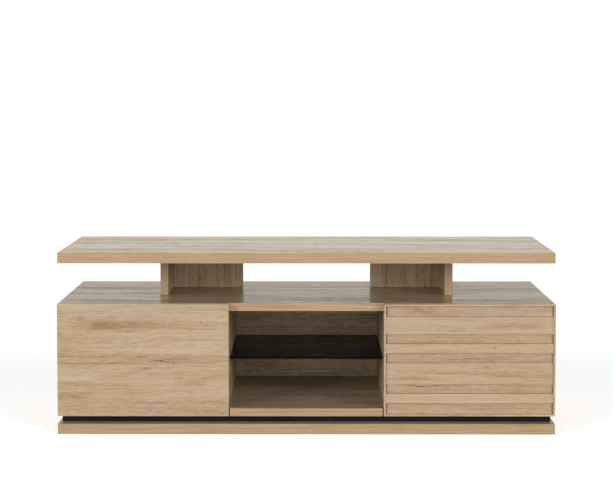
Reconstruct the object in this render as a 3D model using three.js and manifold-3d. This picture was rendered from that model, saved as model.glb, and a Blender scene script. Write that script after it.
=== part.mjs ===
// TV stand with doors: a long low cabinet on a recessed plinth, with a plain door on the left, a relief
// door on the right, an open bay with a glass shelf between them, and a raised shelf for the television.
// Millimetres. +X is right, -Y is the front and +Z is up. The origin is the bottom centre of the stand.

import * as THREE from "three";
import { mergeVertices } from "three/addons/utils/BufferGeometryUtils.js";
import Module from "manifold-3d";

const wasm = await Module();
wasm.setup();

// ---------------------------------------------------------------- overall sizes
const overallWidth = 1550;
const overallDepth = 450;

// ---------------------------------------------------------------- heights, from the floor up
const baseThickness = 33;
const recessHeight = 24;
const caseHeight = 351;
const shelfClearance = 126;
const shelfThickness = 33;

// ---------------------------------------------------------------- cabinet boards
const seam = 0.25; // glue line between boards that meet
const sideThickness = 18;
const uprightThickness = 18;
const topThickness = 25;
const bottomThickness = 25;
const backThickness = 8;
const backInset = 12; // from the rear edges of the boards to the back panels
const bayWidth = 488;
const innerShelfThickness = 16;
const innerShelfHeight = 140; // underside, above the compartment's floor
const innerShelfSetback = 30; // from the front edges of the cabinet's boards

// ---------------------------------------------------------------- plinth
const railThickness = 18;
const railFrontSetback = 28;
const railEndSetback = 10;
const railRearSetback = 10;

// ---------------------------------------------------------------- television shelf and its supports
const shelfFrontSetback = 14;
const shelfRearSetback = 22;
const supportThickness = 25;
const supportDepth = 181;
const supportRearSetback = 98;
const supportEndSetback = 302; // from the end of the shelf to the side board
const crossLength = 234; // from the side board towards the middle

// ---------------------------------------------------------------- glass shelf and its pegs
const glassThickness = 8;
const glassHeight = 136; // underside, above the bay's floor
const glassFrontSetback = 88; // from the doors' front
const glassSideGap = 1;
const glassRearGap = 2;
const pegEdgeDistance = 25; // from the glass's front and rear edges to a peg's centre
const pegPinRadius = 2.5;
const pegPinLength = 8;
const pegTongueLength = 13.5;
const pegTongueWidth = 8;
const pegTongueHeight = 4;
const boreClearance = 0.25; // round a pin or a housing in its bore

// ---------------------------------------------------------------- doors
const reliefDepth = 8; // of the lip and the planks, in front of the relief door's board
const cupCover = 2; // of the relief door's board, in front of the hinge cups
const doorOverhang = 2.25; // of the door's free edge over the bay
const doorEdgeGap = 3.5; // from a door's free edge to the cabinet bottom's tongue
const lipWidth = 6; // the thin raised edge round the relief
const raisedStep = 1; // from the lip's front to the front of a plank
const middleStep = 2.5;
const sunkStep = 5;
const sunkEndGap = 3; // open joint between a sunk plank's ends and the lip
const raisedEndGap = 0.5;
// Planks from the top down. The plank with no height takes what the others leave.
const planks = [
  { height: 33, step: sunkStep },
  { height: 55, step: raisedStep },
  { height: 29, step: sunkStep },
  { height: 30, step: raisedStep },
  { height: 30, step: sunkStep },
  { height: null, step: middleStep },
  { height: 29, step: sunkStep },
  { height: 30, step: raisedStep },
  { height: 35, step: sunkStep },
];

// ---------------------------------------------------------------- concealed hinges
const hingeEndDistance = 75; // from a door's top and bottom edges
const cupRadius = 17.5;
const cupDepth = 12;
const cupWall = 0.8;
const cupEdgeDistance = 3; // from the door's hinged edge to the cup
const cupWingLength = 60;
const cupWingWidth = 15;
const cupWingThickness = 1.2;
const cupScrewSpacing = 48;
const screwHoleRadius = 2.25;
const swingClearance = 0.35; // between the cabinet and the door's corner as it swings past
const pinRadius = 1.2;
const pinClearance = 0.3;
const knuckleRadius = 2.4;
const knuckleHalfHeight = 4.5;
const knuckleFloorGap = 0.2; // to the floor of the cup
const knuckleWallGap = 1.05; // to the wall of the cup, which curves in above and below
const lugHeight = 4.6;
const lugGap = 0.4; // above and below the knuckle
const pinEndCover = 1; // of the lug, beyond the end of the pin
const pinEndGap = 0.4; // from the end of the pin to the end of its bore
const armThickness = 3;
const armOffset = 4; // from the cabinet side's inner face to the arm
const armLength = 68; // from the cabinet's front edge
const armBodyThickness = 6;
const armBodyHalfHeight = 6;
const armBodyStart = 9; // behind the cabinet's front edge
const plateThickness = 3.5;
const plateHoleLine = 37; // from the cabinet's front edge to the plate's screws
const plateLength = 44;
const plateHeight = 18;
const plateWingLength = 50;
const plateWingWidth = 13;
const plateScrewSpacing = 32;

// ---------------------------------------------------------------- push latches
const latchTopDistance = 40; // below the door's top edge
const latchRadius = 5;
const latchLength = 70;
const latchFlangeRadius = 7;
const latchFlangeThickness = 1.25;
const plungerRadius = 3;
const plungerLength = 52;
const plungerClearance = 0.3;
const latchBoreLength = 60;
const strikeLength = 22;
const strikeWidth = 12;
const strikeThickness = 0.75;
const strikeGap = 0.25; // between the plunger's tip and the strike

// ---------------------------------------------------------------- derived places
// The next quarter of a millimetre, upwards.
function quarterUp(value) {
  return Math.ceil(value * 4) / 4;
}

const caseBottomZ = baseThickness + recessHeight;
const caseTopZ = caseBottomZ + caseHeight;
const floorZ = caseBottomZ + bottomThickness; // of the bay and the compartments
const ceilingZ = caseTopZ - topThickness;
const tvShelfZ = caseTopZ + shelfClearance;
const endX = overallWidth / 2;
const frontY = -overallDepth / 2;
const rearY = overallDepth / 2;
const doorPanelThickness = cupDepth + cupCover;
const panelFrontY = frontY + reliefDepth;
const doorBackY = panelFrontY + doorPanelThickness;
const pivotInset = cupEdgeDistance + cupWall + knuckleWallGap + knuckleRadius; // from the hinged edge
const pivotX = endX - pivotInset;
const pivotY = doorBackY - cupDepth + cupWall + knuckleRadius + knuckleFloorGap;
const caseFrontY = quarterUp(pivotY + Math.hypot(pivotInset, doorBackY - pivotY) + swingClearance);
const backPanelRearY = rearY - backInset;
const backPanelFrontY = backPanelRearY - backThickness;
const sideInnerX = endX - sideThickness;
const bayX = bayWidth / 2;
const uprightOuterX = bayX + uprightThickness;
const doorFreeX = bayX - doorOverhang;
const cupCentreX = endX - cupEdgeDistance - cupRadius;
const hingeHeights = { upper: caseTopZ - hingeEndDistance, lower: caseBottomZ + hingeEndDistance };
const latchX = bayX + uprightThickness / 2;
const latchZ = caseTopZ - latchTopDistance;
const glassZ = floorZ + glassHeight;
const glassFrontY = frontY + glassFrontSetback;
const glassRearY = backPanelFrontY - glassRearGap;
const pegZ = glassZ - seam - pegTongueHeight / 2;
const pegPlaces = { front: glassFrontY + pegEdgeDistance, rear: glassRearY - pegEdgeDistance };

// ---------------------------------------------------------------- materials
function finish(color, roughness, metalness = 0) {
  return () => new THREE.MeshStandardMaterial({ color, roughness, metalness });
}

const oak = finish("#bea585", 0.55);
const oakEdge = finish("#bea17f", 0.5);
const blackBoard = finish("#23201e", 0.6);
const nickel = finish("#a7a39b", 0.3, 1);
const greyPlastic = finish("#8b8b88", 0.5);

function smokedGlass() {
  return new THREE.MeshStandardMaterial({
    color: "#141311",
    roughness: 0.06,
    transparent: true,
    opacity: 0.8,
  });
}

// ---------------------------------------------------------------- shapes
const roundSides = 32;
const smallSides = 16;
const overrun = 1; // of a cutting shape, past the surface that it opens

// A box between two bounds on each axis.
function boxBetween([x0, x1], [y0, y1], [z0, z1]) {
  const geometry = new THREE.BoxGeometry(x1 - x0, y1 - y0, z1 - z0);
  return geometry.translate((x0 + x1) / 2, (y0 + y1) / 2, (z0 + z1) / 2);
}

// A round bar along +X, +Y or +Z, from a start point.
function roundBar(axis, [x, y, z], radius, length, sides) {
  const geometry = new THREE.CylinderGeometry(radius, radius, length, sides);
  geometry.translate(0, length / 2, 0);
  if (axis === "x") geometry.rotateZ(-Math.PI / 2);
  if (axis === "z") geometry.rotateX(Math.PI / 2);
  return geometry.translate(x, y, z);
}

// A profile of [radius, distance] points turned about a line through (x, y, z) along +Y.
function turned(profile, [x, y, z], sides) {
  const points = profile.map(([radius, distance]) => new THREE.Vector2(radius, distance));
  return new THREE.LatheGeometry(points, sides).translate(x, y, z);
}

// A flat plate with round ends in the XZ plane, long along X or Z, from y to y + thickness.
function roundEndedPlate(along, [x, y, z], length, width, thickness) {
  const radius = width / 2;
  const reach = length / 2 - radius;
  const shape = new THREE.Shape();
  shape.absarc(reach, 0, radius, -Math.PI / 2, Math.PI / 2);
  shape.absarc(-reach, 0, radius, Math.PI / 2, (3 * Math.PI) / 2);
  const geometry = new THREE.ExtrudeGeometry(shape, {
    depth: thickness,
    bevelEnabled: false,
    curveSegments: 8,
  });
  if (along === "z") geometry.rotateZ(Math.PI / 2);
  return geometry.rotateX(Math.PI / 2).translate(x, y + thickness, z);
}

// A three.js geometry as a solid that can be joined and cut.
function solidOf(geometry) {
  const bare = geometry.clone();
  bare.deleteAttribute("normal");
  bare.deleteAttribute("uv");
  const merged = mergeVertices(bare, 1e-4);
  const vertProperties = merged.attributes.position.array;
  const triVerts = new Uint32Array(merged.index.array);
  return new wasm.Manifold(new wasm.Mesh({ numProp: 3, vertProperties, triVerts }));
}

// A solid back as a three.js geometry.
function geometryOf(solid) {
  const { numVert, numProp, vertProperties, triVerts } = solid.getMesh();
  const positions = new Float32Array(numVert * 3);
  for (let i = 0; i < numVert; i += 1) {
    positions.set(vertProperties.subarray(i * numProp, i * numProp + 3), i * 3);
  }
  const geometry = new THREE.BufferGeometry();
  geometry.setAttribute("position", new THREE.BufferAttribute(positions, 3));
  geometry.setIndex(new THREE.BufferAttribute(new Uint32Array(triVerts), 1));
  geometry.computeVertexNormals();
  return geometry;
}

function joined(...geometries) {
  return geometryOf(geometries.map(solidOf).reduce((whole, piece) => whole.add(piece)));
}

function cut(geometry, ...tools) {
  return geometryOf(tools.map(solidOf).reduce((left, tool) => left.subtract(tool), solidOf(geometry)));
}

function common(a, b) {
  return geometryOf(solidOf(a).intersect(solidOf(b)));
}

function add(group, name, geometry, material) {
  const mesh = new THREE.Mesh(geometry, material());
  mesh.name = name;
  group.add(mesh);
}

// ---------------------------------------------------------------- boards across the whole stand
function addBase(group) {
  const base = boxBetween([-endX, endX], [frontY, rearY], [0, baseThickness]);
  add(group, "base_board", base, oak);
  const railEndX = endX - railEndSetback;
  const railZ = [baseThickness + seam, caseBottomZ - seam];
  const frontRail = [frontY + railFrontSetback, frontY + railFrontSetback + railThickness];
  const rearRail = [rearY - railRearSetback - railThickness, rearY - railRearSetback];
  add(group, "front_recess_rail", boxBetween([-railEndX, railEndX], frontRail, railZ), blackBoard);
  add(group, "rear_recess_rail", boxBetween([-railEndX, railEndX], rearRail, railZ), blackBoard);
}

// The cabinet's bottom board runs behind the doors, and its tongue comes forward between them.
function addCabinetBottom(group) {
  const tongueX = doorFreeX - doorEdgeGap;
  const outline = new THREE.Shape();
  outline.moveTo(-endX, caseFrontY);
  outline.lineTo(-tongueX, caseFrontY);
  outline.lineTo(-tongueX, frontY);
  outline.lineTo(tongueX, frontY);
  outline.lineTo(tongueX, caseFrontY);
  outline.lineTo(endX, caseFrontY);
  outline.lineTo(endX, rearY);
  outline.lineTo(-endX, rearY);
  const board = new THREE.ExtrudeGeometry(outline, { depth: bottomThickness, bevelEnabled: false });
  add(group, "cabinet_bottom", board.translate(0, 0, caseBottomZ), oak);
}

function addCabinetTop(group) {
  const top = boxBetween([-endX, endX], [caseFrontY, rearY], [ceilingZ, caseTopZ]);
  add(group, "cabinet_top", top, oak);
}

function addTvShelf(group) {
  const depth = [frontY + shelfFrontSetback, rearY - shelfRearSetback];
  const shelf = boxBetween([-endX, endX], depth, [tvShelfZ, tvShelfZ + shelfThickness]);
  add(group, "tv_shelf", shelf, oak);
}

function addBayBack(group) {
  const panel = boxBetween(
    [-bayX + seam, bayX - seam],
    [backPanelFrontY, backPanelRearY],
    [floorZ + seam, ceilingZ - seam],
  );
  add(group, "bay_back_panel", panel, oak);
}

function addGlassShelf(group) {
  const glass = boxBetween(
    [-bayX + glassSideGap, bayX - glassSideGap],
    [glassFrontY, glassRearY],
    [glassZ, glassZ + glassThickness],
  );
  add(group, "glass_shelf", glass, smokedGlass);
}

// ---------------------------------------------------------------- boards of one end, drawn for the right
function addSide(group, end) {
  const side = boxBetween(
    [sideInnerX, endX],
    [caseFrontY, rearY],
    [floorZ + seam, ceilingZ - seam],
  );
  add(group, `${end}_side`, side, oak);
}

function addUpright(group, end) {
  const board = boxBetween(
    [bayX, uprightOuterX],
    [caseFrontY, rearY],
    [floorZ + seam, ceilingZ - seam],
  );
  const latchBore = roundBar(
    "y",
    [latchX, caseFrontY - overrun, latchZ],
    latchRadius + boreClearance,
    latchLength + 2 * overrun,
    smallSides,
  );
  const pegBores = Object.values(pegPlaces).map((y) =>
    roundBar(
      "x",
      [bayX - overrun, y, pegZ],
      pegPinRadius + boreClearance,
      pegPinLength + 2 * overrun,
      smallSides,
    ),
  );
  add(group, `${end}_upright`, cut(board, latchBore, ...pegBores), oak);
}

function addCompartmentBack(group, end) {
  const panel = boxBetween(
    [uprightOuterX + seam, sideInnerX - seam],
    [backPanelFrontY, backPanelRearY],
    [floorZ + seam, ceilingZ - seam],
  );
  add(group, `${end}_back_panel`, panel, oak);
}

function addInnerShelf(group, end) {
  const shelfZ = floorZ + innerShelfHeight;
  const shelf = boxBetween(
    [uprightOuterX + seam, sideInnerX - seam],
    [caseFrontY + innerShelfSetback, backPanelFrontY - seam],
    [shelfZ, shelfZ + innerShelfThickness],
  );
  add(group, `${end}_inner_shelf`, shelf, oak);
}

function addEndRail(group, end) {
  const outerX = endX - railEndSetback;
  const rail = boxBetween(
    [outerX - railThickness, outerX],
    [frontY + railFrontSetback + railThickness + seam, rearY - railRearSetback - railThickness - seam],
    [baseThickness + seam, caseBottomZ - seam],
  );
  add(group, `${end}_recess_rail`, rail, blackBoard);
}

// Each support is an L in plan: a side board, and a cross board flush with its rear edge.
function addSupport(group, end) {
  const height = [caseTopZ + seam, tvShelfZ - seam];
  const supportRearY = rearY - supportRearSetback;
  const outerX = endX - supportEndSetback;
  const innerX = outerX - supportThickness;
  const sideBoard = boxBetween([innerX, outerX], [supportRearY - supportDepth, supportRearY], height);
  const crossBoard = boxBetween(
    [innerX - crossLength, innerX - seam],
    [supportRearY - supportThickness, supportRearY],
    height,
  );
  add(group, `${end}_support_side`, sideBoard, oak);
  add(group, `${end}_support_back`, crossBoard, oak);
}

// A peg's pin goes into the upright, and its flat tongue carries the glass.
function addPegs(group, end) {
  for (const [place, y] of Object.entries(pegPlaces)) {
    const pinStartX = bayX - glassSideGap / 2;
    const pin = roundBar(
      "x",
      [pinStartX, y, pegZ],
      pegPinRadius,
      bayX + pegPinLength - pinStartX,
      smallSides,
    );
    const tongue = boxBetween(
      [bayX - pegTongueLength, bayX - seam],
      [y - pegTongueWidth / 2, y + pegTongueWidth / 2],
      [pegZ - pegTongueHeight / 2, pegZ + pegTongueHeight / 2],
    );
    add(group, `${end}_${place}_peg`, joined(tongue, pin), nickel);
  }
}

// ---------------------------------------------------------------- doors, drawn for the right
// The pockets in a door's back that the hinge cups sit in.
function cupPockets() {
  return Object.values(hingeHeights).map((z) =>
    roundBar(
      "y",
      [cupCentreX, doorBackY - cupDepth - boreClearance, z],
      cupRadius + boreClearance,
      cupDepth + overrun,
      roundSides,
    ),
  );
}

function addPlainDoor(group, end) {
  const slab = boxBetween([doorFreeX, endX], [frontY, doorBackY], [caseBottomZ, caseTopZ]);
  add(group, `${end}_door`, cut(slab, ...cupPockets()), oak);
}

// The height of each plank, with the free plank taking up the rest of the field.
function plankHeights(fieldHeight) {
  const fixed = planks.reduce((sum, plank) => sum + (plank.height ?? 0), 0);
  return planks.map((plank) => plank.height ?? fieldHeight - fixed);
}

function addPlanks(group, end) {
  const heights = plankHeights(caseHeight - 2 * lipWidth);
  let topZ = caseTopZ - lipWidth;
  planks.forEach(({ step }, i) => {
    const endGap = step === sunkStep ? sunkEndGap : raisedEndGap;
    const plank = boxBetween(
      [doorFreeX + lipWidth + endGap, endX - lipWidth - endGap],
      [frontY + step, panelFrontY - seam],
      [topZ - heights[i] + seam, topZ - seam],
    );
    add(group, `${end}_door_plank_${i + 1}`, plank, oak);
    topZ -= heights[i];
  });
}

// The relief door is a board with a thin lip round its front and planks of three thicknesses inside it.
function addReliefDoor(group, end) {
  const board = boxBetween([doorFreeX, endX], [panelFrontY, doorBackY], [caseBottomZ, caseTopZ]);
  add(group, `${end}_door_panel`, cut(board, ...cupPockets()), oak);
  const lipBlock = boxBetween(
    [doorFreeX, endX],
    [frontY, panelFrontY - seam],
    [caseBottomZ, caseTopZ],
  );
  const field = boxBetween(
    [doorFreeX + lipWidth, endX - lipWidth],
    [frontY - overrun, panelFrontY + overrun],
    [caseBottomZ + lipWidth, caseTopZ - lipWidth],
  );
  add(group, `${end}_door_lip`, cut(lipBlock, field), oakEdge);
  addPlanks(group, end);
}

// ---------------------------------------------------------------- hinges, drawn for the right
// Two holes through a plate, one above and one below its middle.
function screwHoles(axis, [x, y, z], spacing, depth) {
  return [-spacing / 2, spacing / 2].map((offset) =>
    roundBar(axis, [x, y, z + offset], screwHoleRadius, depth, smallSides),
  );
}

// The two lugs inside the cup that hold the ends of the pin.
function lugGeometries(z) {
  const startZ = knuckleHalfHeight + lugGap;
  const insideWall = roundBar(
    "y",
    [cupCentreX, doorBackY - cupDepth, z],
    cupRadius - cupWall / 2,
    cupDepth,
    roundSides,
  );
  return [z + startZ, z - startZ - lugHeight].map((lugZ) => {
    const block = boxBetween(
      [pivotX - knuckleRadius, endX],
      [doorBackY - cupDepth + cupWall / 2, pivotY + knuckleRadius],
      [lugZ, lugZ + lugHeight],
    );
    return common(block, insideWall);
  });
}

const pinHalfLength = knuckleHalfHeight + lugGap + lugHeight - pinEndCover;

// The cup: a thin bowl with a screw wing on the door's back, and the lugs.
function cupGeometry(z) {
  const bowlProfile = [
    [0, -cupDepth],
    [cupRadius, -cupDepth],
    [cupRadius, cupWingThickness],
    [cupRadius - cupWall, cupWingThickness],
    [cupRadius - cupWall, -cupDepth + cupWall],
    [0, -cupDepth + cupWall],
  ];
  const centre = [cupCentreX, doorBackY, z];
  const behindWing = [cupCentreX, doorBackY - overrun, z];
  const cutDepth = cupWingThickness + 2 * overrun;
  const bowl = turned(bowlProfile, centre, roundSides);
  const wing = cut(
    roundEndedPlate("z", centre, cupWingLength, cupWingWidth, cupWingThickness),
    roundBar("y", behindWing, cupRadius - cupWall / 2, cutDepth, roundSides),
    ...screwHoles("y", behindWing, cupScrewSpacing, cutDepth),
  );
  const pinBore = roundBar(
    "z",
    [pivotX, pivotY, z - pinHalfLength - pinEndGap],
    pinRadius + pinClearance,
    2 * (pinHalfLength + pinEndGap),
    smallSides,
  );
  return cut(joined(bowl, wing, ...lugGeometries(z)), pinBore);
}

function pinGeometry(z) {
  return roundBar("z", [pivotX, pivotY, z - pinHalfLength], pinRadius, 2 * pinHalfLength, smallSides);
}

// The arm turns on the pin, comes inwards out of the cup and runs back beside the cabinet's side.
function armGeometry(z) {
  const innerX = sideInnerX - armOffset;
  const rearArmY = caseFrontY + armLength;
  const half = armThickness / 2;
  const outline = new THREE.Shape();
  outline.moveTo(pivotX, pivotY + half);
  outline.lineTo(innerX, pivotY + half);
  outline.lineTo(innerX, rearArmY);
  outline.lineTo(innerX - armThickness, rearArmY);
  outline.lineTo(innerX - armThickness, pivotY + half);
  outline.absarc(innerX, pivotY + half, armThickness, Math.PI, (3 * Math.PI) / 2);
  outline.lineTo(pivotX, pivotY - half);
  const strip = new THREE.ExtrudeGeometry(outline, {
    depth: 2 * knuckleHalfHeight,
    bevelEnabled: false,
    curveSegments: 6,
  });
  strip.translate(0, 0, z - knuckleHalfHeight);
  const knuckle = roundBar(
    "z",
    [pivotX, pivotY, z - knuckleHalfHeight],
    knuckleRadius,
    2 * knuckleHalfHeight,
    smallSides,
  );
  const body = boxBetween(
    [innerX - armBodyThickness, innerX],
    [caseFrontY + armBodyStart, rearArmY],
    [z - armBodyHalfHeight, z + armBodyHalfHeight],
  );
  const pinBore = roundBar(
    "z",
    [pivotX, pivotY, z - knuckleHalfHeight - overrun],
    pinRadius + pinClearance,
    2 * (knuckleHalfHeight + overrun),
    smallSides,
  );
  return cut(joined(strip, knuckle, body), pinBore);
}

// The mounting plate: a bar under the arm with a screw wing up and down the cabinet's side.
function plateGeometry(z) {
  const plateX = [sideInnerX - seam - plateThickness, sideInnerX - seam];
  const centreY = caseFrontY + plateHoleLine;
  const bar = boxBetween(
    plateX,
    [centreY - plateLength / 2, centreY + plateLength / 2],
    [z - plateHeight / 2, z + plateHeight / 2],
  );
  const wing = boxBetween(
    plateX,
    [centreY - plateWingWidth / 2, centreY + plateWingWidth / 2],
    [z - plateWingLength / 2, z + plateWingLength / 2],
  );
  const holes = screwHoles(
    "x",
    [plateX[0] - overrun, centreY, z],
    plateScrewSpacing,
    plateThickness + 2 * overrun,
  );
  return cut(joined(bar, wing), ...holes);
}

function addHinges(group, end) {
  for (const [level, z] of Object.entries(hingeHeights)) {
    add(group, `${end}_${level}_hinge_cup`, cupGeometry(z), nickel);
    add(group, `${end}_${level}_hinge_pin`, pinGeometry(z), nickel);
    add(group, `${end}_${level}_hinge_arm`, armGeometry(z), nickel);
    add(group, `${end}_${level}_hinge_plate`, plateGeometry(z), nickel);
  }
}

// ---------------------------------------------------------------- push latches, drawn for the right
function addLatch(group, end) {
  const boreRadius = plungerRadius + plungerClearance;
  const housingProfile = [
    [0, latchLength],
    [0, latchBoreLength],
    [boreRadius, latchBoreLength],
    [boreRadius, -latchFlangeThickness],
    [latchFlangeRadius, -latchFlangeThickness],
    [latchFlangeRadius, -seam],
    [latchRadius, -seam],
    [latchRadius, latchLength],
    [0, latchLength],
  ];
  const housing = turned(housingProfile, [latchX, caseFrontY, latchZ], smallSides);
  add(group, `${end}_latch_housing`, housing, greyPlastic);
  const tipY = doorBackY + strikeThickness + strikeGap;
  const plunger = roundBar("y", [latchX, tipY, latchZ], plungerRadius, plungerLength, smallSides);
  add(group, `${end}_latch_plunger`, plunger, greyPlastic);
  const strikePlace = [latchX, doorBackY, latchZ];
  const strike = roundEndedPlate("x", strikePlace, strikeLength, strikeWidth, strikeThickness);
  add(group, `${end}_latch_strike`, strike, nickel);
}

// ---------------------------------------------------------------- the stand
// One end of the stand. The left end is the right end mirrored, apart from its door.
function endGroup(end, addDoor) {
  const group = new THREE.Group();
  addSide(group, end);
  addUpright(group, end);
  addCompartmentBack(group, end);
  addInnerShelf(group, end);
  addEndRail(group, end);
  addSupport(group, end);
  addPegs(group, end);
  addDoor(group, end);
  addHinges(group, end);
  addLatch(group, end);
  if (end === "left") group.scale.x = -1;
  return group;
}

const stand = new THREE.Group();
addBase(stand);
addCabinetBottom(stand);
addCabinetTop(stand);
addTvShelf(stand);
addBayBack(stand);
addGlassShelf(stand);
stand.add(endGroup("left", addPlainDoor));
stand.add(endGroup("right", addReliefDoor));

export default stand;
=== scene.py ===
import math

import bmesh
import bpy
from mathutils import Matrix, Vector


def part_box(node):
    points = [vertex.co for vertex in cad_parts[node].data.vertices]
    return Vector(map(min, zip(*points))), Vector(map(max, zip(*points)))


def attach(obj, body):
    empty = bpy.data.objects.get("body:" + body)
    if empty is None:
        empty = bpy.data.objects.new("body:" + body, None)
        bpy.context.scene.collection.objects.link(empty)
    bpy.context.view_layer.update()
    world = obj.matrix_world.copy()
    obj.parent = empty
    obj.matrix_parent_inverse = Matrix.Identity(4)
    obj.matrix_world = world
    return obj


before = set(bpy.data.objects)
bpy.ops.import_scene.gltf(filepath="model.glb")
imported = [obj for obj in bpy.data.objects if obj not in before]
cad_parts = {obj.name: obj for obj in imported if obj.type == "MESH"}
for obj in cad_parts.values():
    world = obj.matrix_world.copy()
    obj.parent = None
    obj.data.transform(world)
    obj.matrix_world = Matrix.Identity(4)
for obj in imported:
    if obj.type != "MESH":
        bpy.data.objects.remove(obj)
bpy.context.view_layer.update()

MM = 0.001
X, Y, Z = 0, 1, 2
ENDS = (("left", -1), ("right", 1))
LEVELS = ("upper", "lower")


# ---------------------------------------------------------------- colours and node graphs

def srgb(red, green, blue):
    """A linear RGBA colour from 0-255 display values."""
    def linear(value):
        value /= 255
        return value / 12.92 if value <= 0.04045 else ((value + 0.055) / 1.055) ** 2.4
    return (linear(red), linear(green), linear(blue), 1.0)


class Graph:
    """A node tree, built by calls that return sockets."""

    def __init__(self, tree):
        self.tree = tree

    def put(self, value, socket):
        if isinstance(value, bpy.types.NodeSocket):
            self.tree.links.new(value, socket)
        else:
            socket.default_value = value

    def node(self, kind, values=(), **settings):
        """A new node, with its first inputs set to values."""
        made = self.tree.nodes.new(kind)
        for name, setting in settings.items():
            setattr(made, name, setting)
        for socket, value in zip(made.inputs, values):
            self.put(value, socket)
        return made

    def math(self, operation, first, second=0.0, third=0.0):
        return self.node("ShaderNodeMath", (first, second, third), operation=operation).outputs[0]

    def vector(self, x, y, z):
        return self.node("ShaderNodeCombineXYZ", (x, y, z)).outputs[0]

    def scaled(self, vector, x, y, z):
        return self.node("ShaderNodeVectorMath", (vector, (x, y, z)), operation="MULTIPLY").outputs[0]

    def shifted(self, vector, x, y, z):
        return self.node("ShaderNodeVectorMath", (vector, (x, y, z)), operation="ADD").outputs[0]

    def split(self, vector):
        return list(self.node("ShaderNodeSeparateXYZ", (vector,)).outputs)

    def noise(self, vector, detail=2.0, roughness=0.5):
        made = self.node("ShaderNodeTexNoise")
        self.put(vector, made.inputs["Vector"])
        made.inputs["Scale"].default_value = 1.0
        made.inputs["Detail"].default_value = detail
        made.inputs["Roughness"].default_value = roughness
        return made.outputs["Fac"]

    def swing(self, noise, amount, base):
        """base, plus amount times the noise's swing about its middle."""
        return self.math("MULTIPLY_ADD", self.math("SUBTRACT", noise, 0.5), amount, base)

    def carry(self, value, low, high, start, end, curve="LINEAR"):
        """A value carried from the range low-high to the range start-end."""
        values = (value, low, high, start, end)
        return self.node("ShaderNodeMapRange", values, interpolation_type=curve).outputs[0]

    def smooth(self, value, low, high, start=0.0, end=1.0):
        return self.carry(value, low, high, start, end, "SMOOTHSTEP")

    def ramp(self, value, stops):
        made = self.node("ShaderNodeValToRGB", (value,))
        elements = made.color_ramp.elements
        while len(elements) < len(stops):
            elements.new(0.5)
        for element, (place, colour) in zip(elements, stops):
            element.position = place
            element.color = colour
        return made.outputs[0]

    def mix(self, factor, first, second, blend="MIX"):
        made = self.node("ShaderNodeMix", (factor,), data_type="RGBA", blend_type=blend)
        self.put(first, made.inputs[6])
        self.put(second, made.inputs[7])
        return made.outputs[2]

    def mix_vector(self, factor, first, second):
        made = self.node("ShaderNodeMix", (factor,), data_type="VECTOR")
        self.put(first, made.inputs[4])
        self.put(second, made.inputs[5])
        return made.outputs[1]


class Material(Graph):
    """A material's graph, with one principled shader."""

    def __init__(self, name):
        self.material = bpy.data.materials.new(name)
        self.material.use_nodes = True
        super().__init__(self.material.node_tree)
        self.tree.nodes.clear()
        output = self.node("ShaderNodeOutputMaterial")
        self.shader = self.node("ShaderNodeBsdfPrincipled")
        self.tree.links.new(self.shader.outputs[0], output.inputs["Surface"])

    def coordinates(self):
        return self.node("ShaderNodeTexCoord").outputs["Object"]

    def set(self, **values):
        """Sets the shader's own sockets: set(Roughness=0.4, Base_Color=socket)."""
        for name, value in values.items():
            self.put(value, self.shader.inputs[name.replace("_", " ")])

    def bump(self, height, strength, distance):
        made = self.node("ShaderNodeBump")
        made.inputs["Strength"].default_value = strength
        made.inputs["Distance"].default_value = distance
        self.put(height, made.inputs["Height"])
        self.put(made.outputs[0], self.shader.inputs["Normal"])


# ---------------------------------------------------------------- board materials

OAK_RAMP = (
    (0.20, srgb(160, 132, 98)),
    (0.38, srgb(183, 156, 122)),
    (0.52, srgb(194, 168, 135)),
    (0.66, srgb(203, 179, 147)),
    (0.85, srgb(214, 193, 163)),
)
EDGE_RAMP = (
    (0.20, srgb(168, 136, 98)),
    (0.45, srgb(192, 161, 124)),
    (0.60, srgb(200, 171, 135)),
    (0.85, srgb(213, 187, 153)),
)
FIBREBOARD = (
    (0.25, srgb(138, 110, 80)),
    (0.50, srgb(159, 130, 97)),
    (0.75, srgb(178, 149, 114)),
)
PORE_COLOUR = srgb(122, 96, 68)
FLAW_COLOUR = srgb(58, 45, 33)
RIM_HIGHLIGHT_COLOUR = srgb(222, 199, 166)

# The decor's noises: scale with the grain, scale across it, detail and roughness.
WAVE = (1.3, 6, 2, 0.5)
RIPPLE = (12, 60, 3, 0.5)
BROAD = (1.7, 26, 3, 0.6)
STREAK = (3.2, 165, 4, 0.62)
FIBRE = (32, 250, 3, 0.75)
PORE = (55, 1500, 1, 0.5)
HILL = (0.8, 3.6, 1, 0.5)
RING_AREA = (2.1, 6.0, 1, 0.5)
EDGE_LINE = (5, 330, 3, 0.7)

# The middle tones of a face and an edge, and how far each noise sways them. The first three
# sways also grow with a board's contrast.
OAK_MIDDLE = 0.53
EDGE_MIDDLE = 0.49
BROAD_WEIGHT = 0.78
STREAK_WEIGHT = 0.85
FIBRE_WEIGHT = 1.15
RING_WEIGHT = -0.10
EDGE_WEIGHT = 1.1

SEED_STEP = (1.37, 0.83, 0.59)  # metres from one board's decor to the next
FACING = 0.7  # the least normal component on a face that looks along an axis
WAVE_SWAY = 22 * MM
RIPPLE_SWAY = 5 * MM
PATCH_SWAY = 20 * MM
FLAW_PUSH = 0.9  # how far the grain is pushed beside a flaw, in half heights
FLAW_FADE = 0.16  # how fast that push dies away
HILL_RINGS = 16.0  # growth rings from a hill's foot to its top
RINGS_ACROSS = 34  # and in a metre across the board
PORE_STRENGTH = 0.30
# The rim line is a painted highlight: a pale line inside a board's outline where the rounded edge would
# catch light.
RIM_HIGHLIGHT_STRENGTH = 0.55
RIM_FULL = 0.6 * MM  # the rim line is whole out from here, and gone at RIM_FADE
RIM_FADE = 1.2 * MM
GLOSS_PLAY = 0.45  # how much shinier the pale grain is than the dark
LEAST_ROUGHNESS = 0.10
RAW_ROUGHNESS = 0.75


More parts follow.
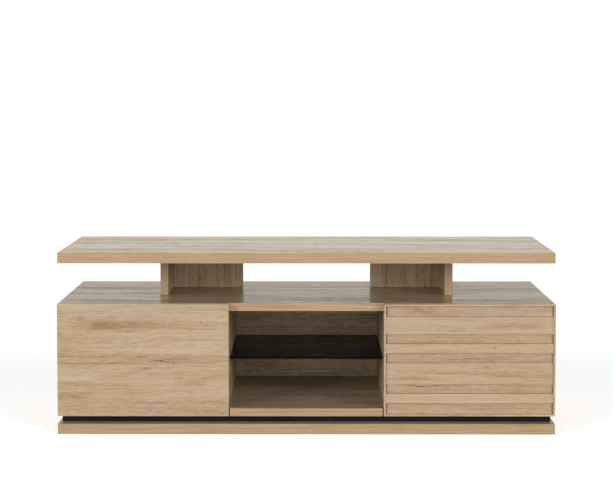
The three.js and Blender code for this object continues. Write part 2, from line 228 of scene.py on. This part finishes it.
class Board(Material):
    """A board's decor, with its grain and what breaks it.

    axes are the object's axes with the grain, across the face and through the board. On the
    two grain ends the edge band's lines run along the end instead.
    """

    def __init__(self, name, axes, seed, flaws):
        super().__init__(name)
        grain, width, thin = axes
        source = self.node("ShaderNodeTexCoord")
        place = self.split(source.outputs["Object"])
        self.normal = self.split(source.outputs["Normal"])
        self.lengthways, self.sideways = place[grain], place[width]
        face = self.vector(place[grain], place[width], place[thin])
        end = self.vector(place[width], place[thin], place[grain])
        turned_at_ends = self.mix_vector(self.looks_along(grain), face, end)
        self.moved = self.shifted(turned_at_ends, *(step * seed for step in SEED_STEP))
        self.flat = self.looks_along(thin)
        self.wave = self.layer(self.moved, WAVE)
        self.ripple = self.layer(self.moved, RIPPLE)
        self.run_grain(flaws)

    def looks_along(self, axis):
        """1 on the surfaces that look along an axis, either way."""
        return self.math("GREATER_THAN", self.math("ABSOLUTE", self.normal[axis]), FACING)

    def layer(self, vector, look):
        """One of the decor's noises."""
        along, across, detail, roughness = look
        return self.noise(self.scaled(vector, along, across, across), detail, roughness)

    def away_from(self, along, across):
        """How far the surface is from a place on the face, with the grain and across it."""
        return (self.math("SUBTRACT", self.lengthways, along),
                self.math("SUBTRACT", self.sideways, across))

    def run_grain(self, flaws):
        """Lays the grain's noises, wavy and pushed aside by each flaw."""
        along, across, through = self.split(self.moved)
        bent = self.swing(self.wave, WAVE_SWAY, across)
        bent = self.swing(self.ripple, RIPPLE_SWAY, bent)
        masks = []
        for flaw_along, flaw_across, length, height, depth in flaws:
            dx, dy = self.away_from(flaw_along, flaw_across)
            dx = self.math("DIVIDE", dx, length)
            dy = self.math("DIVIDE", dy, height)
            distance = self.math("ADD", self.math("MULTIPLY", dx, dx), self.math("MULTIPLY", dy, dy))
            near = self.math("EXPONENT", self.math("MULTIPLY", distance, -FLAW_FADE))
            push = self.math("MULTIPLY", self.math("MULTIPLY", near, dy), -FLAW_PUSH * height)
            bent = self.math("ADD", bent, push)
            masks.append(self.smooth(distance, 1.0, 0.15, 0.0, depth))
        self.flaw_mask = masks[0] if masks else None
        for mask in masks[1:]:
            self.flaw_mask = self.math("MAXIMUM", self.flaw_mask, mask)
        self.bent = bent
        lined = self.vector(along, bent, through)
        self.broad = self.layer(lined, BROAD)
        self.streak = self.layer(lined, STREAK)
        self.fibre = self.layer(lined, FIBRE)
        self.pore_line = self.smooth(self.layer(lined, PORE), 0.60, 0.72)

    def rings(self):
        """Thin lines in places, where growth rings cut the face."""
        hill = self.layer(self.moved, HILL)
        flat_count = self.math("MULTIPLY", self.bent, RINGS_ACROSS)
        count = self.math("MULTIPLY_ADD", hill, HILL_RINGS, flat_count)
        line = self.smooth(self.math("PINGPONG", count, 0.5), 0.0, 0.16, 1.0, 0.0)
        area = self.smooth(self.layer(self.moved, RING_AREA), 0.46, 0.66)
        return self.math("MULTIPLY", line, area)

    def tone(self, contrast, lift, patches):
        """The place on OAK_RAMP."""
        tone = self.swing(self.broad, BROAD_WEIGHT * contrast, OAK_MIDDLE + lift)
        tone = self.swing(self.streak, STREAK_WEIGHT * contrast, tone)
        tone = self.swing(self.fibre, FIBRE_WEIGHT * contrast, tone)
        tone = self.math("ADD", tone, self.math("MULTIPLY", self.rings(), RING_WEIGHT))
        for along, across, length, height, strength in patches:
            dx, dy = self.away_from(along, across)
            dy = self.swing(self.wave, PATCH_SWAY, dy)
            dy = self.swing(self.ripple, 0.3 * height, dy)
            ends = self.smooth(self.math("ABSOLUTE", dx), 1.3 * length, 0.4 * length)
            sides = self.smooth(self.math("ABSOLUTE", dy), height, 0.2 * height, 0.0, strength)
            drawn = self.math("MULTIPLY", sides, self.smooth(self.streak, 0.30, 0.62, 0.45, 1.25))
            tone = self.math("MULTIPLY_ADD", ends, drawn, tone)
        return tone

    def rim_line(self, rim):
        """A painted highlight just inside the board's outline, about a millimetre wide, where the rounded
        edge would catch light.
        """
        (low_along, low_across), (high_along, high_across) = rim
        inward = self.math("SUBTRACT", self.lengthways, low_along)
        for gap in (self.math("SUBTRACT", high_along, self.lengthways),
                    self.math("SUBTRACT", self.sideways, low_across),
                    self.math("SUBTRACT", high_across, self.sideways)):
            inward = self.math("MINIMUM", inward, gap)
        return self.smooth(inward, RIM_FADE, RIM_FULL, 0.0, RIM_HIGHLIGHT_STRENGTH)


def oak(name, axes, seed, flaws=(), patches=(), rim=None, raw_back=False, contrast=1.0,
        lift=0.0, shade=1.0, edge_lift=0.0, gloss=0.34, specular=0.5):
    """Light oak decor.

    flaws are dark cracks and knots, and patches are soft darker or paler stretches: both are
    (grain place, width place, half length, half height, tone). rim is the board's outline
    (low, high) in the grain and width axes, which gets a painted highlight: a pale line where
    the rounded edge would catch light. lift moves the tone along the ramp, edge_lift does so on
    the edges, and shade darkens the whole face as a painted stand-in for dimmer light.
    """
    g = Board(name, axes, seed, flaws)
    tone = g.tone(contrast, lift, patches)

    face_colour = g.ramp(tone, OAK_RAMP)
    # Painted darkening: the face colour is multiplied darker in place of the dimmer light that falls on
    # it.
    if shade != 1.0:
        face_colour = g.mix(1.0, face_colour, (shade, shade, shade, 1), "MULTIPLY")
    edge_tone = g.swing(g.layer(g.moved, EDGE_LINE), EDGE_WEIGHT, EDGE_MIDDLE + edge_lift)
    colour = g.mix(g.flat, g.ramp(edge_tone, EDGE_RAMP), face_colour)
    colour = g.mix(g.math("MULTIPLY", g.pore_line, PORE_STRENGTH), colour, PORE_COLOUR)
    if g.flaw_mask is not None:
        ragged = g.math("MULTIPLY", g.flaw_mask, g.smooth(g.streak, 0.35, 0.60, 0.78, 1.0))
        colour = g.mix(ragged, colour, FLAW_COLOUR)
    # The painted highlight along the outline.
    if rim is not None:
        colour = g.mix(g.rim_line(rim), colour, RIM_HIGHLIGHT_COLOUR)

    rough = g.math("MULTIPLY_ADD", tone, -GLOSS_PLAY, gloss + GLOSS_PLAY * OAK_MIDDLE)
    rough = g.math("MAXIMUM", rough, LEAST_ROUGHNESS)
    if raw_back:
        behind = g.math("GREATER_THAN", g.normal[Y], FACING)
        speckle = g.noise(g.scaled(g.moved, 900, 1400, 900), detail=2, roughness=0.7)
        colour = g.mix(behind, colour, g.ramp(speckle, FIBREBOARD))
        rough = g.math("MAXIMUM", rough, g.math("MULTIPLY", behind, RAW_ROUGHNESS))

    relief = g.math("SUBTRACT", g.math("MULTIPLY", g.fibre, 0.5), g.math("MULTIPLY", g.pore_line, 0.8))
    g.bump(relief, 0.22, 0.3 * MM)
    g.set(Base_Color=colour, Roughness=rough, IOR=1.5, Specular_IOR_Level=specular)
    return g.material


# ---------------------------------------------------------------- other materials

def two_tone(dark, light):
    """Stops from a dark colour to a light one, for a noise."""
    return ((0.3, dark), (0.7, light))


def black_board():
    g = Material("black_melamine")
    place = g.coordinates()
    cloud = g.noise(g.scaled(place, 6, 6, 30), detail=3)
    pearl = g.noise(g.scaled(place, 900, 900, 900))
    g.set(
        Base_Color=g.ramp(g.swing(pearl, 0.5, cloud), two_tone(srgb(24, 21, 20), srgb(34, 31, 30))),
        Roughness=g.math("MULTIPLY_ADD", cloud, 0.2, 0.38),
        IOR=1.5,
        Specular_IOR_Level=0.3,
    )
    g.bump(pearl, 0.25, 0.2 * MM)
    return g.material


def smoked_glass():
    g = Material("smoked_glass")
    film = g.noise(g.scaled(g.coordinates(), 5, 9, 20), detail=3)
    g.set(
        Base_Color=g.ramp(film, two_tone(srgb(7, 6, 5), srgb(11, 10, 9))),
        Roughness=g.math("MULTIPLY_ADD", film, 0.08, 0.02),
        IOR=1.52,
        Specular_IOR_Level=0.06,
        Transmission_Weight=0.10,
    )
    return g.material


def nickel(name, axis):
    """Satin nickel plate, brushed along one axis."""
    g = Material(name)
    place = g.coordinates()
    scale = [1600.0, 1600.0, 1600.0]
    scale[axis] = 60.0
    brushed = g.noise(g.scaled(place, *scale))
    worn = g.noise(g.scaled(place, 90, 90, 90), detail=3)
    g.set(
        Base_Color=g.ramp(worn, two_tone(srgb(196, 192, 184), srgb(214, 210, 202))),
        Metallic=0.7,
        Roughness=g.math("MULTIPLY_ADD", brushed, 0.16, 0.24),
    )
    g.bump(brushed, 0.15, 0.2 * MM)
    return g.material


def plastic(name, dark, light, rough=0.48):
    g = Material(name)
    place = g.coordinates()
    mottle = g.noise(g.scaled(place, 260, 260, 260), detail=3)
    pebble = g.noise(g.scaled(place, 2600, 2600, 2600), detail=1)
    g.set(
        Base_Color=g.ramp(mottle, two_tone(dark, light)),
        Roughness=g.math("MULTIPLY_ADD", mottle, 0.14, rough - 0.07),
        IOR=1.46,
    )
    g.bump(pebble, 0.2, 0.1 * MM)
    return g.material


# ---------------------------------------------------------------- mesh code

def standing(place, axis):
    """The matrix that takes +Z to axis and the origin to place."""
    turn = Vector((0, 0, 1)).rotation_difference(Vector(axis)).to_matrix().to_4x4()
    return Matrix.Translation(place) @ turn


def on_circle(radius, angle, height):
    return Vector((radius * math.cos(angle), radius * math.sin(angle), height))


def turned(bm, profile, place, axis, segments=32):
    """A solid of revolution. profile is (radius, height) in mm, from the axis out and back to it."""
    move = standing(place, axis)
    angles = [2 * math.pi * i / segments for i in range(segments)]
    rows = []
    for radius, height in profile:
        around = angles if radius else [0.0]
        rows.append([bm.verts.new(move @ on_circle(radius * MM, angle, height * MM))
                     for angle in around])
    for low, high in zip(rows, rows[1:]):
        for i in range(segments):
            j = (i + 1) % segments
            ring = [low[i % len(low)], low[j % len(low)], high[j % len(high)], high[i % len(high)]]
            corners = list(dict.fromkeys(ring))
            if len(corners) > 2:
                bm.faces.new(corners)


CROSS_ANGLES = (-13, -9, 9, 13, 45)  # degrees from each arm of the cross
CROSS_ARM = 9  # an arm's half width, in degrees
CROSS_REACH = 0.62  # an arm's length, as a share of the head's radius
CROSS_DEPTH = 0.75  # as a share of the head's height
HEAD_FALL = 0.35  # from the middle to the edge, as a share of the head's height
HEAD_RINGS = (0.20, 0.40, CROSS_REACH, CROSS_REACH + 0.05, 0.85, 1.0)


def screw_head(bm, place, axis, size):
    """A pan head with a cross recess, standing on place and facing along axis.

    size is (radius, height).
    """
    radius, height = size
    move = standing(place, axis)
    angles = [math.radians(90 * quarter + step) for quarter in range(4) for step in CROSS_ANGLES]
    count = len(angles)
    depth = CROSS_DEPTH * height

    def point(ring, index):
        in_arm = abs(CROSS_ANGLES[index % len(CROSS_ANGLES)]) <= CROSS_ARM
        sunk = ring == HEAD_RINGS[0] or (ring <= CROSS_REACH and in_arm)
        top = height * (1 - HEAD_FALL * ring ** 2)
        return move @ on_circle(radius * ring, angles[index], top - depth if sunk else top)

    rows = [[bm.verts.new(point(ring, i)) for i in range(count)] for ring in HEAD_RINGS]
    foot = [bm.verts.new(move @ on_circle(radius, angle, 0)) for angle in angles]
    rows.append(foot)
    for inner, outer in zip(rows, rows[1:]):
        for i in range(count):
            j = (i + 1) % count
            bm.faces.new((inner[i], outer[i], outer[j], inner[j]))
    bm.faces.new(rows[0])
    bm.faces.new(list(reversed(foot)))


def plate(bm, corner, opposite, bevel):
    """A rounded box between two opposite corners."""
    low = Vector([min(pair) for pair in zip(corner, opposite)])
    high = Vector([max(pair) for pair in zip(corner, opposite)])
    shape = Matrix.Translation((high + low) / 2) @ Matrix.Diagonal((*(high - low), 1))
    made = bmesh.ops.create_cube(bm, size=1.0, matrix=shape)
    edges = list({edge for vert in made["verts"] for edge in vert.link_edges})
    bmesh.ops.bevel(bm, geom=edges, offset=bevel, segments=3, profile=0.5, affect="EDGES")


def piece(name, bm, material, body):
    """A finished mesh from bm, riding on a CAD body."""
    bmesh.ops.recalc_face_normals(bm, faces=bm.faces)
    mesh = bpy.data.meshes.new(name)
    bm.to_mesh(mesh)
    bm.free()
    mesh.materials.append(material)
    for polygon in mesh.polygons:
        polygon.use_smooth = True
    mesh.set_sharp_from_angle(angle=math.radians(35))
    made = bpy.data.objects.new(name, mesh)
    bpy.context.scene.collection.objects.link(made)
    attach(made, body)


# ---------------------------------------------------------------- the CAD nodes' looks

BOARD_EDGE = 0.7 * MM
THIN_EDGE = 0.4 * MM


def box_of(node):
    low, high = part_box(node)
    return low, high, (low + high) / 2


def dress(node, material, bevel=None):
    """The node's material, and a small round on its edges."""
    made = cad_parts[node]
    made.data.materials.clear()
    made.data.materials.append(material)
    if bevel:
        weld = made.modifiers.new("weld", "WELD")
        weld.merge_threshold = 0.01 * MM
        round_edges = made.modifiers.new("round_edges", "BEVEL")
        round_edges.width = bevel
        round_edges.segments = 3
        round_edges.limit_method = "ANGLE"
        round_edges.angle_limit = math.radians(50)
        round_edges.harden_normals = False
        normals = made.modifiers.new("normals", "WEIGHTED_NORMAL")
        normals.keep_sharp = False
        normals.weight = 100


def oak_board(node, axes, seed, bevel=BOARD_EDGE, **look):
    """An oak board's own material. No two boards have the same seed."""
    dress(node, oak("oak_" + node, axes, seed, **look), bevel)


# Boards that lie flat: grain along x.
LYING = (X, Y, Z)
LYING_BOARDS = (
    # name, contrast, shade (painted darkening of the face), edge_lift, gloss, specular
    ("tv_shelf", 1.7, 1.0, -0.01, 0.22, 0.5),
    ("cabinet_top", 2.0, 0.56, -0.07, 0.23, 0.5),
    ("cabinet_bottom", 1.6, 0.64, -0.12, 0.24, 0.3),
    ("base_board", 1.5, 0.62, -0.10, 0.24, 0.4),
    ("left_inner_shelf", 1.3, 0.9, 0.0, 0.24, 0.4),
    ("right_inner_shelf", 1.3, 0.9, 0.0, 0.24, 0.4),
)
# The top, the bottom, the base and the inner shelves get painted darkening on their faces, for the dimmer
# light on them.
for seed, (name, contrast, shade, edge_lift, gloss, specular) in enumerate(LYING_BOARDS, start=3):
    oak_board(name, LYING, seed, contrast=contrast, shade=shade, edge_lift=edge_lift, gloss=gloss,
              specular=specular)

# Boards that face the front: grain along x. The backs are thin, with raw fibreboard behind.
FRONT = (X, Z, Y)
for seed, name in enumerate(("bay_back_panel", "left_back_panel", "right_back_panel"), start=11):
    oak_board(name, FRONT, seed, THIN_EDGE, raw_back=True, contrast=1.7, lift=0.04, specular=0.25)

# Boards that stand: the sides and uprights with grain from front to rear, the supports with
# grain up and down. The uprights' faces get painted darkening for the shadowed walls of the bay.
for seed, name in enumerate(("left_side", "right_side", "left_upright", "right_upright"), start=17):
    oak_board(name, (Y, Z, X), seed, shade=0.68 if name.endswith("upright") else 1.0)
for seed, (end, _) in enumerate(ENDS, start=23):
    oak_board(end + "_support_side", (Z, Y, X), seed)
for seed, (end, _) in enumerate(ENDS, start=27):
    oak_board(end + "_support_back", (Z, X, Y), seed, contrast=1.4)

# The plain door, with an arched split right of its middle, two small knots, and the darker
# and paler stretches of its board. Each is (across, up, half length mm, half height mm, tone).
LEFT_DOOR_FLAWS = (
    (0.545, 0.489, 14, 1.5, 0.60),
    (0.582, 0.497, 14, 1.8, 0.90),
    (0.610, 0.495, 9, 2.4, 1.00),
    (0.645, 0.486, 14, 1.8, 0.80),
    (0.678, 0.477, 8, 1.9, 0.75),
    (0.500, 0.430, 50, 1.5, 0.22),
    (0.800, 0.450, 70, 1.3, 0.18),
    (0.838, 0.842, 4, 2.4, 0.70),
    (0.135, 0.868, 14, 6.0, 0.28),
)
LEFT_DOOR_PATCHES = (
    (0.40, 0.815, 150, 20, -0.20),
    (0.80, 0.775, 85, 3.5, -0.22),
    (0.50, 0.735, 300, 9, 0.10),
    (0.16, 0.480, 100, 4, -0.22),
    (0.62, 0.520, 120, 14, -0.08),
    (0.11, 0.355, 70, 14, 0.14),
    (0.50, 0.590, 200, 12, 0.08),
    (0.786, 0.300, 60, 17, -0.14),
    (0.07, 0.190, 70, 18, -0.18),
    (0.53, 0.125, 60, 3.5, -0.18),
    (0.50, 0.100, 400, 40, -0.13),
)


def marks(node, rows):
    """Rows of (across, up, half length mm, half height mm, tone) placed on a door's face."""
    low, high, _ = box_of(node)
    return [(low.x + across * (high.x - low.x), low.z + up * (high.z - low.z),
             length * MM, height * MM, tone)
            for across, up, length, height, tone in rows]


door_low, door_high, _ = box_of("left_door")
# The plain door gets a painted highlight line along its whole outline.
oak_board("left_door", FRONT, seed=31, contrast=0.76, gloss=0.36,
          flaws=marks("left_door", LEFT_DOOR_FLAWS), patches=marks("left_door", LEFT_DOOR_PATCHES),
          rim=((door_low.x, door_low.z), (door_high.x, door_high.z)))

# The relief door: a board, a lip round it, and planks at three levels, each with its own grain.
oak_board("right_door_panel", FRONT, seed=35)
# The lip's lift makes it paler: painted light on the raised frame.
oak_board("right_door_lip", FRONT, seed=37, bevel=THIN_EDGE, lift=0.05)
PLANKS = 9
PLANK_SEED = 40
PLANK_SEED_STEP = 1.7
MIDDLE_PLANK = 6
# Painted light and shadow on the relief: sunk planks are darkened and raised planks lightened in tone, and
# the middle plank a little darker, by their level and not by their wood.
SUNK_PAINTED_SHADOW, MIDDLE_PAINTED_SHADOW, RAISED_PAINTED_LIGHT = -0.10, -0.01, 0.05
PLANK_FLAWS = {
    4: ((0.65, 0.60, 10, 4.0, 0.30),),
    6: ((0.60, 0.80, 8, 3.0, 0.35), (0.66, 0.86, 22, 1.2, 0.30)),
    7: ((0.150, 0.88, 20, 1.5, 0.75), (0.200, 0.76, 18, 2.2, 1.00), (0.250, 0.80, 18, 1.8, 0.85),
        (0.310, 0.88, 26, 1.4, 0.55)),
}
PLANK_PATCHES = {
    2: ((0.75, 0.40, 90, 10, -0.08),),
    6: ((0.18, 0.30, 70, 9, -0.14), (0.72, 0.45, 60, 14, -0.10), (0.45, 0.75, 90, 8, 0.07)),
}
for index in range(1, PLANKS + 1):
    name = f"right_door_plank_{index}"
    if index == MIDDLE_PLANK:
        lift = MIDDLE_PAINTED_SHADOW
    else:
        lift = SUNK_PAINTED_SHADOW if index % 2 else RAISED_PAINTED_LIGHT
    oak_board(name, FRONT, PLANK_SEED + PLANK_SEED_STEP * index, THIN_EDGE, contrast=0.68, lift=lift,
              flaws=marks(name, PLANK_FLAWS.get(index, ())),
              patches=marks(name, PLANK_PATCHES.get(index, ())))

black = black_board()
for side in ("front", "rear", "left", "right"):
    dress(side + "_recess_rail", black, BOARD_EDGE)
dress("glass_shelf", smoked_glass(), THIN_EDGE)

nickel_y = nickel("nickel_front_to_rear", Y)
nickel_z = nickel("nickel_upright", Z)
grey = plastic("grey_plastic", srgb(150, 150, 146), srgb(170, 170, 166))
for end, _ in ENDS:
    for level in LEVELS:
        for part, metal in (("cup", nickel_z), ("plate", nickel_z), ("arm", nickel_y), ("pin", nickel_z)):
            dress(f"{end}_{level}_hinge_{part}", metal)
    for part, look in (("front_peg", nickel_y), ("rear_peg", nickel_y), ("latch_strike", nickel_z),
                       ("latch_housing", grey), ("latch_plunger", grey)):
        dress(f"{end}_{part}", look)


# ---------------------------------------------------------------- fittings

def x_face(node, facing):
    """The x of a node's face that looks along +X (facing 1) or -X (facing -1)."""
    low, high, _ = box_of(node)
    return high.x if facing > 0 else low.x


def compartment_walls(end, sign):
    """(x, facing) of the two boards beside a door's compartment."""
    return ((x_face(end + "_side", -sign), -sign), (x_face(end + "_upright", sign), sign))


CUP_SCREW_OFFSET = 24 * MM
CUP_SCREW = (3.6 * MM, 1.0 * MM)
PLATE_SCREW_OFFSET = 16 * MM
PLATE_SCREW = (3.8 * MM, 1.5 * MM)
ARM_SCREW_PLACES = (9 * MM, 42 * MM)  # forward from the arm's rear end
ARM_SCREW = (3.3 * MM, 0.7 * MM)


def hinge_screws(end, sign):
    """The screws of a door's two hinges: in the cups on the door, in the plates and arms on the side."""
    inward = (-sign, 0, 0)
    on_door = bmesh.new()
    on_side = bmesh.new()
    for level in LEVELS:
        hinge = f"{end}_{level}_hinge"
        _, cup_high, cup = box_of(hinge + "_cup")
        _, _, middle = box_of(hinge + "_plate")
        _, arm_high, arm = box_of(hinge + "_arm")
        plate_face = x_face(hinge + "_plate", -sign)
        arm_face = x_face(hinge + "_arm", -sign)
        for step in (-1, 1):
            cup_place = (cup.x, cup_high.y, cup.z + step * CUP_SCREW_OFFSET)
            screw_head(on_door, cup_place, (0, 1, 0), CUP_SCREW)
            plate_place = (plate_face, middle.y, middle.z + step * PLATE_SCREW_OFFSET)
            screw_head(on_side, plate_place, inward, PLATE_SCREW)
        for forward in ARM_SCREW_PLACES:
            screw_head(on_side, (arm_face, arm_high.y - forward, arm.z), inward, ARM_SCREW)
    piece(end + "_cup_screws", on_door, nickel_z, end + "_door")
    piece(end + "_plate_screws", on_side, nickel_z, "carcass")


CAM_CAP = ((0, 1.1), (2.0, 1.1), (2.3, 0.7), (2.9, 0.7), (3.2, 1.1), (7.8, 1.0), (8.5, 0.5),
           (8.6, 0.0), (0, 0))
CAP_FROM_FRONT = 100 * MM
CAP_FROM_REAR = 75 * MM
CAP_FROM_END = 34 * MM


def fixing_caps(end, sign):
    """The caps over the cam fittings, near the top and the bottom of a compartment's walls."""
    caps = bmesh.new()
    low, high, _ = box_of(end + "_side")
    for face, facing in compartment_walls(end, sign):
        for y in (low.y + CAP_FROM_FRONT, high.y - CAP_FROM_REAR):
            for z in (low.z + CAP_FROM_END, high.z - CAP_FROM_END):
                turned(caps, CAM_CAP, (face, y, z), (facing, 0, 0))
    tan = plastic(end + "_cap_plastic", srgb(176, 150, 118), srgb(190, 164, 132))
    piece(end + "_fixing_caps", caps, tan, "carcass")


PIN_FROM_END = 40 * MM
PIN_HALF_WIDTH = 4 * MM
PIN_REACH = 9 * MM
PIN_THICKNESS = 1.6 * MM
PIN_GAP = 0.1 * MM
FLANGE_REACH = 1.4 * MM
FLANGE_DROP = 11 * MM
PIN_ROUND = 0.4 * MM
STUD = ((0, 2.0), (1.6, 1.9), (2.4, 1.3), (2.5, 0.0), (0, 0))
STUD_REACH = 1.3 * MM
STUD_DROP = 7 * MM


def shelf_pins(end, sign):
    """The spoon pins under an inner shelf: a tongue under the shelf and a flange on the wall."""
    pins = bmesh.new()
    low, high, _ = box_of(end + "_inner_shelf")
    for face, facing in compartment_walls(end, sign):
        for y in (low.y + PIN_FROM_END, high.y - PIN_FROM_END):
            wall_top = (face, y + PIN_HALF_WIDTH, low.z - PIN_GAP)
            for reach, drop in ((PIN_REACH, PIN_THICKNESS), (FLANGE_REACH, FLANGE_DROP)):
                plate(pins, wall_top, (face + facing * reach, y - PIN_HALF_WIDTH, low.z - drop), PIN_ROUND)
            stud_place = (face + facing * STUD_REACH, y, low.z - STUD_DROP)
            turned(pins, STUD, stud_place, (facing, 0, 0), segments=20)
    piece(end + "_shelf_pins", pins, nickel_z, "carcass")


BUFFER = ((0, 1.9), (1.6, 1.8), (3.0, 1.4), (3.8, 0.8), (4.2, 0.2), (4.2, 0.0), (0, 0))
BUFFER_FROM_FREE_EDGE = 6 * MM
BUFFER_FROM_END = 13 * MM
clear = plastic("clear_buffer", srgb(196, 194, 188), srgb(214, 212, 206), 0.3)


def door_buffers(end, sign):
    """The soft stops behind a door's free edge."""
    door = "left_door" if sign < 0 else "right_door_panel"
    low, high, _ = box_of(door)
    x = x_face(door, -sign) + sign * BUFFER_FROM_FREE_EDGE
    buffers = bmesh.new()
    for z in (low.z + BUFFER_FROM_END, high.z - BUFFER_FROM_END):
        turned(buffers, BUFFER, (x, high.y, z), (0, 1, 0), segments=28)
    piece(end + "_door_buffers", buffers, clear, end + "_door")


for end, sign in ENDS:
    hinge_screws(end, sign)
    fixing_caps(end, sign)
    shelf_pins(end, sign)
    door_buffers(end, sign)


TAB_LENGTH = 1.6 * MM
TAB_OVERLAP = 1.5 * MM
TAB_HALF_HEIGHT = 3.5 * MM
TAB_BEHIND = 0.5 * MM
TAB_ROUND = 0.3 * MM


def strike_tab():
    """The relief door's strike has a small bent tab past the door's free edge."""
    low, high, middle = box_of("right_latch_strike")
    tab = bmesh.new()
    plate(tab, (low.x - TAB_LENGTH, low.y, middle.z - TAB_HALF_HEIGHT),
          (low.x + TAB_OVERLAP, high.y + TAB_BEHIND, middle.z + TAB_HALF_HEIGHT), TAB_ROUND)
    piece("right_strike_tab", tab, nickel_z, "right_door")


SLEEVE = 0.35 * MM
SLEEVE_WALL_GAP = 0.1 * MM
SLEEVE_GLASS_GAP = 0.05 * MM
SLEEVE_RISE = 0.15 * MM  # its underside above the peg's
SLEEVE_ROUND = 0.5 * MM


def peg_sleeves():
    """Thin pale sleeves on the pegs that carry the glass."""
    sleeves = bmesh.new()
    glass_low, _, _ = box_of("glass_shelf")
    for end, sign in ENDS:
        wall = x_face(end + "_upright", -sign)
        for peg in (end + "_front_peg", end + "_rear_peg"):
            low, high, _ = box_of(peg)
            tip = x_face(peg, -sign)
            plate(sleeves, (tip - sign * SLEEVE, low.y - SLEEVE, low.z + SLEEVE_RISE),
                  (wall - sign * SLEEVE_WALL_GAP, high.y + SLEEVE, glass_low.z - SLEEVE_GLASS_GAP),
                  SLEEVE_ROUND)
    pale = plastic("pale_sleeve", srgb(222, 206, 180), srgb(236, 222, 198), 0.4)
    piece("peg_sleeves", sleeves, pale, "carcass")


NAIL = ((0, 0.8), (1.2, 0.75), (2.0, 0.5), (2.4, 0.1), (2.4, 0.0), (0, 0))
NAIL_MARGIN = 9 * MM
NAILS_A_ROW = 5


def back_nails():
    """Nails round each back panel: a row along its top and bottom, and one half way up each side."""
    nails = bmesh.new()
    for name in ("left_back_panel", "bay_back_panel", "right_back_panel"):
        low, high, middle = box_of(name)
        left, right = low.x + NAIL_MARGIN, high.x - NAIL_MARGIN
        places = [(left + (right - left) * i / (NAILS_A_ROW - 1), z)
                  for i in range(NAILS_A_ROW) for z in (low.z + NAIL_MARGIN, high.z - NAIL_MARGIN)]
        for x, z in places + [(left, middle.z), (right, middle.z)]:
            turned(nails, NAIL, (x, high.y, z), (0, 1, 0), segments=20)
    piece("back_nails", nails, nickel_y, "carcass")


strike_tab()
peg_sleeves()
back_nails()


# ---------------------------------------------------------------- floor, light and camera

FLOOR_HALF = 30.0
FLOOR_DROP = 0.2 * MM
FLOOR_GLOW = 0.60
CORNERS = ((-1, -1), (1, -1), (1, 1), (-1, 1))
floor_corners = [(x * FLOOR_HALF, y * FLOOR_HALF, 0) for x, y in CORNERS]
floor_mesh = bpy.data.meshes.new("floor")
floor_mesh.from_pydata(floor_corners, [], [(0, 1, 2, 3)])
floor = bpy.data.objects.new("floor", floor_mesh)
floor.location.z = -FLOOR_DROP
floor.visible_diffuse = False
floor.visible_glossy = False
bpy.context.scene.collection.objects.link(floor)
pale_floor = Material("pale_floor")
pale_floor.set(Base_Color=(0.86, 0.86, 0.86, 1), Roughness=0.9, Specular_IOR_Level=0.0,
               Emission_Color=(1, 1, 1, 1), Emission_Strength=FLOOR_GLOW)
floor_mesh.materials.append(pale_floor.material)

# The studio is white to the eye. It fills faintly, more from the level than from above, and is
# seen in the sheen as a warm wall that is brighter behind the stand than in front.
WORLD_SEEN = 1.0
WORLD_FILL_LEVEL = 0.26
WORLD_FILL_ABOVE = 0.06
WORLD_SHEEN_FRONT = 0.40
WORLD_SHEEN_BACK = 0.92
WORLD_SHEEN_COLOUR = (1.0, 0.96, 0.88, 1)
SHEEN_TURN = 0.35  # how far forward and back of sideways the sheen changes
FILL_TOP = 0.7  # how high above level the fill changes
world = bpy.data.worlds.new("studio")
bpy.context.scene.world = world
world.use_nodes = True
studio = Graph(world.node_tree)
ray = studio.node("ShaderNodeLightPath").outputs
_, rearward, upward = studio.split(studio.node("ShaderNodeTexCoord").outputs["Generated"])
sheen = studio.carry(rearward, -SHEEN_TURN, SHEEN_TURN, WORLD_SHEEN_FRONT, WORLD_SHEEN_BACK)
fill = studio.carry(upward, 0.0, FILL_TOP, WORLD_FILL_LEVEL, WORLD_FILL_ABOVE)
strength = studio.carry(ray["Is Diffuse Ray"], 0, 1, WORLD_SEEN, fill)
strength = studio.carry(ray["Is Glossy Ray"], 0, 1, strength, sheen)
background = world.node_tree.nodes["Background"]
colour = studio.mix(ray["Is Glossy Ray"], (1, 1, 1, 1), WORLD_SHEEN_COLOUR)
studio.put(colour, background.inputs["Color"])
studio.put(strength, background.inputs["Strength"])


def soft_sun(name, azimuth, elevation, power, spread):
    """A broad soft light from a direction. Azimuth 0 is in front and positive to the right."""
    data = bpy.data.lights.new(name, "SUN")
    data.energy = power
    data.angle = math.radians(spread)
    lamp = bpy.data.objects.new(name, data)
    bpy.context.scene.collection.objects.link(lamp)
    a, e = math.radians(azimuth), math.radians(elevation)
    source = Vector((math.sin(a) * math.cos(e), -math.cos(a) * math.cos(e), math.sin(e)))
    lamp.visible_glossy = False
    lamp.rotation_mode = "QUATERNION"
    lamp.rotation_quaternion = source.to_track_quat("Z", "Y")


soft_sun("key_left", -54, 18, 1.66, 30)
soft_sun("key_right", 54, 18, 1.60, 30)
soft_sun("front", 0, 8, 0.66, 64)
soft_sun("rear_left", -140, 11, 0.60, 50)
soft_sun("rear_right", 140, 11, 0.60, 50)

CAMERA_DOWN = 2.701  # degrees below level
CAMERA_TURN = 0.179
camera_data = bpy.data.cameras.new("camera")
camera_data.lens = 72.57
camera_data.sensor_width = 36
camera_data.shift_y = -0.175
camera_data.clip_start = 0.05
camera_data.clip_end = 200
camera = bpy.data.objects.new("camera", camera_data)
camera.location = (0.0127, -4.0304, 1.0930)
camera.rotation_euler = (math.radians(90 - CAMERA_DOWN), 0, math.radians(CAMERA_TURN))
bpy.context.scene.collection.objects.link(camera)
bpy.context.scene.camera = camera
bpy.context.scene.view_settings.view_transform = "Standard"

bpy.context.view_layer.update()
